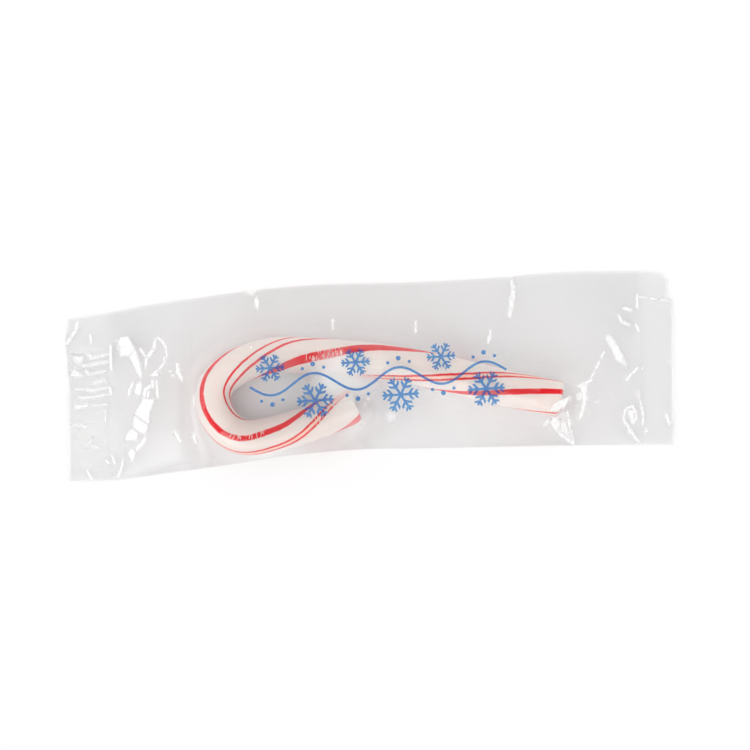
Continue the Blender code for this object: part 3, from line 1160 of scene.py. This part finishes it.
def back_height():
    """The back's height: on the table, and close under the front in the welds."""
    share = smooth_step(from_weld[::COARSE, ::COARSE] / BACK_EASE)
    lowest = film_top[::COARSE, ::COARSE].copy()
    for i in range(-COARSE, COARSE + 1):
        for j in range(-COARSE, COARSE + 1):
            shifted = np.roll(film_top, (i, j), axis=(0, 1))[::COARSE, ::COARSE]
            lowest = np.minimum(lowest, shifted)
    welded = np.clip(lowest, UNDER_HEIGHT + WELD_GAP, SEAL_HEIGHT) - WELD_GAP
    return UNDER_HEIGHT * share + welded * (1.0 - share)


film_front, film_back = front_height(), back_height()
print("the sheets are", WELD_GAP, "mm apart in the welds")

# %% How many of a sheet's surfaces mirror no more
HOOK_WELD = 0.5
STRAIGHT_WELD = 0.6
WET_CLING = 1.8
WET_REACH = 1.7
WET_EDGE = 0.5


def fused_surfaces():
    """Some in the welds, and nearly both where the film lies damp on the candy."""
    fused = np.where(base_x < HOOK_SEAL, HOOK_WELD, STRAIGHT_WELD * (base_x > STRAIGHT_SEAL))
    for start, end in WET_STRETCHES:
        line = cane_line[(cane_run >= start) & (cane_run <= end)][::4]
        off, _, _, along = nearest_stretch(line)
        stuck = smooth_step((WET_REACH - off) / WET_EDGE + 0.5) * (along > 0.0) * (along < 1.0)
        fused = np.maximum(fused, WET_CLING * stuck)
    return fused


film_fused = fused_surfaces()
print("on average the front lacks", round(float(film_fused.mean()), 2), "of its two surfaces")

# %% The bag: two sheets, bridged all round
BACK_WIDTH = 0.995


def add_sheet(bm, x, y, height, fused, painted_light):
    """A grid primitive with a point for each place, moved there; it also stores the film's state."""
    columns, rows = height.shape[0] - 1, height.shape[1] - 1
    points = bmesh.ops.create_grid(bm, x_segments=columns, y_segments=rows, size=0.5)["verts"]
    fused_layer, painted_light_layer = bm.verts.layers.float["fused"], bm.verts.layers.float["painted_light"]
    for vert in points:
        i, j = round((vert.co.x + 0.5) * columns), round((vert.co.y + 0.5) * rows)
        vert[fused_layer] = fused[i, j]
        vert[painted_light_layer] = painted_light[i, j]
        vert.co = (x[i, j], y[i, j], height[i, j])


bag = bmesh.new()
bag.verts.layers.float.new("fused")
bag.verts.layers.float.new("painted_light")
add_sheet(bag, film_x, film_y, film_front, film_fused, film_painted_light)
back_x, back_y = film_x[::COARSE, ::COARSE], film_y[::COARSE, ::COARSE]
middle_line = (back_y[:, :1] + back_y[:, -1:]) / 2.0
narrower = middle_line + (back_y - middle_line) * BACK_WIDTH
back_fused = np.minimum(film_fused[::COARSE, ::COARSE], 1.0) * held[::COARSE, ::COARSE]
add_sheet(bag, back_x, narrower, film_back, back_fused, np.zeros(back_x.shape))
bmesh.ops.bridge_loops(bag, edges=[e for e in bag.edges if e.is_boundary])
bmesh.ops.recalc_face_normals(bag, faces=bag.faces[:])
print("open edges:", sum(e.is_boundary for e in bag.edges))
film_tree = BVHTree.FromBMesh(bag)
wrapper_film = new_piece("wrapper_film", bag, clear_film())
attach(wrapper_film, "root")
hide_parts("sealed_wrapper")

# %% [markdown]
# ## The print
# Candy wrappers are printed by a rubber plate with one quick-drying ink, here a blue winter border:
# a wavy garland with snowflakes in its bends and dots between them. Printed ink is flat, so each motif
# is a flat mesh with sharp corners. An image on the film would do for one view, but a mesh stays
# sharp however near the viewer comes.

# %% The garland
PRINT_LENGTH = 45.0
WAVE_LENGTH = 15.0
WAVE_HEIGHT = 1.7
GARLAND_STROKE = 0.42
GARLAND_CUTS = 160


def wave(x):
    """The garland's height over its middle line."""
    return WAVE_HEIGHT * math.sin(TAU * x / WAVE_LENGTH)


def draw_garland(bm):
    """A strip of even width along a wave."""
    strip = bmesh.ops.create_grid(bm, x_segments=GARLAND_CUTS, y_segments=1, size=0.5)["verts"]
    for vert in strip:
        x = vert.co.x * PRINT_LENGTH
        slant = math.atan2(wave(x + 0.01) - wave(x - 0.01), 0.02)
        side = math.copysign(GARLAND_STROKE / 2.0, vert.co.y)
        vert.co = (x - side * math.sin(slant), wave(x) + side * math.cos(slant), 0.0)


border = bmesh.new()
draw_garland(border)
print("the garland makes", round(PRINT_LENGTH / WAVE_LENGTH), "waves")

# %% [markdown]
# ## Snowflakes and dots
# A snowflake starts as a hexagon. An arm grows from each of its sides by extruding the edge, and twigs
# grow from the arm's sides the same way, so no faces overlap. A table says how far out each joint of
# an arm lies and how long the twigs between it and the joint before are.

# %% Draw them in the garland's bends
FLAKE_RISE = 3.1
BIG_FLAKE = 3.2
SMALL_FLAKE = 2.5
FLAKE_STROKE = 0.44
SMALL_STROKE = 0.374
ARM_JOINTS = [(0.42, 0.0), (0.58, 0.3), (0.74, 0.0), (0.88, 0.2), (1.0, 0.0)]
TWIG_LEAN = 0.75
BENDS = 6
DOT_RADIUS = 0.42
SMALL_DOT_RADIUS = 0.294
DOT_SIDES = 20
DOT_RISE = 1.6
SMALL_DOT_RISE = 0.9


def grow(bm, edge, way, length):
    """Extrudes an edge, moves the new one, and gives it back with the new side edges."""
    result = bmesh.ops.extrude_edge_only(bm, edges=[edge])["geom"]
    verts = [item for item in result if isinstance(item, bmesh.types.BMVert)]
    edges = [item for item in result if isinstance(item, bmesh.types.BMEdge)]
    tip = next(e for e in edges if e.verts[0] in verts and e.verts[1] in verts)
    bmesh.ops.translate(bm, verts=verts, vec=way * length)
    return tip, [e for e in tip.link_faces[0].edges if e is not tip and e is not edge]


def middle_of(edge):
    """The point halfway along an edge."""
    return (edge.verts[0].co + edge.verts[1].co) / 2.0


def draw_flake(bm, centre, radius, stroke):
    """A six-armed snowflake with two pairs of twigs on each arm."""
    circle = bmesh.ops.create_circle(bm, cap_ends=True, segments=6, radius=stroke)["verts"]
    hub = next(f for f in circle[0].link_faces if f.verts[0] in circle)
    whole = set(hub.verts)
    for tip in list(hub.edges):
        foot = middle_of(tip)
        out = foot.normalized()
        start = foot.length
        for joint, twig in ARM_JOINTS:
            tip, sides = grow(bm, tip, out, radius * joint - start)
            start = radius * joint
            for side in sides if twig else []:
                root = middle_of(side)
                aside = (root - out * root.dot(out)).normalized()
                whole.update(side.verts)
                end, _ = grow(bm, side, (out * TWIG_LEAN + aside).normalized(), radius * twig)
                whole.update(end.verts)
            whole.update(tip.verts)
    bmesh.ops.translate(bm, verts=list(whole), vec=(centre[0], centre[1], 0.0))


def draw_dot(bm, x, y, radius):
    """A round dot."""
    place = Matrix.Translation((x, y, 0.0))
    bmesh.ops.create_circle(bm, cap_ends=True, segments=DOT_SIDES, radius=radius, matrix=place)


for i in range(BENDS):
    x = (i - (BENDS - 1) / 2.0) * WAVE_LENGTH / 2.0
    up = -math.copysign(1.0, wave(x))
    radius, stroke = (BIG_FLAKE, FLAKE_STROKE) if i % 2 else (SMALL_FLAKE, SMALL_STROKE)
    draw_flake(border, (x, up * FLAKE_RISE), radius, stroke)
    draw_dot(border, x, -up * (WAVE_HEIGHT + DOT_RISE), DOT_RADIUS)
    for aside in (WAVE_LENGTH / 8.0, -WAVE_LENGTH / 8.0):
        draw_dot(border, x + aside, -up * (WAVE_HEIGHT + SMALL_DOT_RISE), SMALL_DOT_RADIUS)
print("the flat print has", len(border.faces), "faces")

# %% [markdown]
# ## Lay the print on the film
# The ink is on the film's outer face, so it stays dark where white is painted on the film under it,
# and it has to follow the tent. A Shrinkwrap modifier would slide its points sideways on the slopes,
# so instead the flat motifs are cut along lines a fraction of a millimetre apart, which lets them
# bend, and a ray dropped at each point finds the film.

# %% Cut the motifs finely, and drop them on the film
PRINT_CENTRE = (1.5, -0.9)
INK_STEP = 0.45
INK_LIFT = 0.03
DROP_HEIGHT = 20.0


def cut_evenly(bm, axis, low, high):
    """Cuts a flat mesh by planes across one axis."""
    way = Vector((0.0, 0.0, 0.0))
    way[axis] = 1.0
    for i in range(int((high - low) / INK_STEP) + 1):
        place = way * (low + i * INK_STEP)
        whole = bm.verts[:] + bm.edges[:] + bm.faces[:]
        bmesh.ops.bisect_plane(bm, geom=whole, plane_co=place, plane_no=way, dist=1e-5)


cut_evenly(border, 0, -PRINT_LENGTH / 2.0, PRINT_LENGTH / 2.0)
cut_evenly(border, 1, -FLAKE_RISE - BIG_FLAKE, FLAKE_RISE + BIG_FLAKE)
for vert in border.verts:
    above = Vector((vert.co.x + PRINT_CENTRE[0], vert.co.y + PRINT_CENTRE[1], DROP_HEIGHT))
    landing = film_tree.ray_cast(above, Vector((0.0, 0.0, -1.0)))[0]
    vert.co = landing + Vector((0.0, 0.0, INK_LIFT))
bmesh.ops.recalc_face_normals(border, faces=border.faces[:])
print("the highest ink lies at", round(max(vert.co.z for vert in border.verts), 2), "mm")

# %% [markdown]
# ## Ink
# The quick-drying ink of a rubber plate is a dye with a little pigment. Light that passes the dye
# turns blue, so the ink looks purple over the red stripes, while the pigment keeps it blue over
# white. So a blue Transparent shader and a matt blue one are mixed, about half and half.

# %% The printed ink
INK_DYE = "#9cebff"
INK_PIGMENT = "#5868ba"
INK_COVER = 0.5


def printing_ink():
    material, tree = new_material("flexo_ink_blue")
    dye = add_node(tree, "ShaderNodeBsdfTransparent", {"Color": colour(INK_DYE)})
    pigment = add_node(tree, "ShaderNodeBsdfDiffuse", {"Color": colour(INK_PIGMENT), "Roughness": 0.0})
    ink = add_node(tree, "ShaderNodeMixShader", {"Fac": INK_COVER, 1: dye, 2: pigment})
    add_node(tree, "ShaderNodeOutputMaterial", {"Surface": ink})
    return material


blue_print = new_piece("blue_print", border, printing_ink())
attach(blue_print, "root")

# %% [markdown]
# ## A white board to lie on
# The pack lies on a plain matt board, large enough that no view sees its edge.

# %% Floor
BOARD_SIDE = 1200.0
BOARD_WHITE = "#f7f6f6"


def matt_board():
    material, tree = new_material("matt_white_board")
    board = add_node(tree, "ShaderNodeBsdfDiffuse", {"Color": colour(BOARD_WHITE), "Roughness": 0.0})
    add_node(tree, "ShaderNodeOutputMaterial", {"Surface": board})
    return material


board = bmesh.new()
bmesh.ops.create_grid(board, x_segments=1, y_segments=1, size=BOARD_SIDE / 2.0)
floor = new_piece("floor", board, matt_board())

# %% [markdown]
# ## Hang the lamps
# The three low lamps that the knocks mirror now become real ones: area lamps far away, wide enough
# that every crinkle of a knock finds some part of one.

# %% Three low area lamps
LAMP_DISTANCE = 1200.0


def hang_lamp(name, place, width, height, glow):
    """An area lamp that points at the pack; its place is an azimuth and an elevation in degrees."""
    data = bpy.data.lights.new(name, "AREA")
    data.shape = "RECTANGLE"
    data.size = width * MM
    data.size_y = height * MM
    data.energy = glow * math.pi * data.size * data.size_y
    light = bpy.data.objects.new(name, data)
    azimuth, elevation = (math.radians(angle) for angle in place)
    way = Vector((math.cos(azimuth), math.sin(azimuth), math.tan(elevation))).normalized()
    light.location = way * LAMP_DISTANCE * MM
    light.rotation_euler = way.to_track_quat("Z", "Y").to_euler()
    bpy.context.scene.collection.objects.link(light)
    print("the lamp", name, "gives", round(data.energy, 3), "W")


hang_lamp("hook_side", HOOK_LAMP, 420.0, 280.0, 2.6)
hang_lamp("straight_side", STRAIGHT_LAMP, 420.0, 280.0, 2.2)
hang_lamp("far_side", FAR_LAMP, 600.0, 160.0, 5.0)

# %% [markdown]
# ## The bright room
# The rest of the light is soft: a pale ring all round, dimmer at the zenith so that the film's flat
# parts mirror little and stay grey against the board, and one large glow from the near side, which
# throws the soft shadows up and away. A world shader gives both, read by the direction of each ray.

# %% The sky, by height above the horizon, and the large glow
SKY_RING = [(0.0, 0.48), (0.25, 0.99), (0.84, 1.0), (0.96, 0.43), (1.0, 0.38)]
KEY_GLOW = 1.2
KEY_FOCUS = 7.0
KEY_WAY = Vector((-0.50, -0.62, 0.60)).normalized()


def studio_sky():
    """A ring of soft white light round a dimmer zenith, with a large soft glow in front."""
    world = bpy.data.worlds.new("studio")
    world.use_nodes = True
    tree = world.node_tree
    way = add_node(tree, "ShaderNodeTexCoord").outputs["Generated"]
    _, _, height = add_node(tree, "ShaderNodeSeparateXYZ", {"Vector": way}).outputs
    ring = add_node(tree, "ShaderNodeValToRGB", {"Fac": height})
    set_stops(ring, [(place, grey(glow)) for place, glow in SKY_RING])
    facing = add_node(tree, "ShaderNodeVectorMath", {0: way, 1: KEY_WAY}, operation="DOT_PRODUCT")
    front = add_node(tree, "ShaderNodeMath", {0: facing.outputs["Value"], 1: 0.0}, operation="MAXIMUM")
    lobe = add_node(tree, "ShaderNodeMath", {0: front, 1: KEY_FOCUS}, operation="POWER")
    total = add_node(tree, "ShaderNodeMath", {0: lobe, 1: KEY_GLOW, 2: ring}, operation="MULTIPLY_ADD")
    background = tree.nodes["Background"].inputs
    tree.links.new(total.outputs[0], background["Strength"])
    background["Color"].default_value = colour("#ffffff")
    bpy.context.scene.world = world


studio_sky()
bpy.context.scene.view_settings.view_transform = "Standard"
print("the large glow stands", round(math.degrees(math.asin(KEY_WAY.z))), "degrees high")
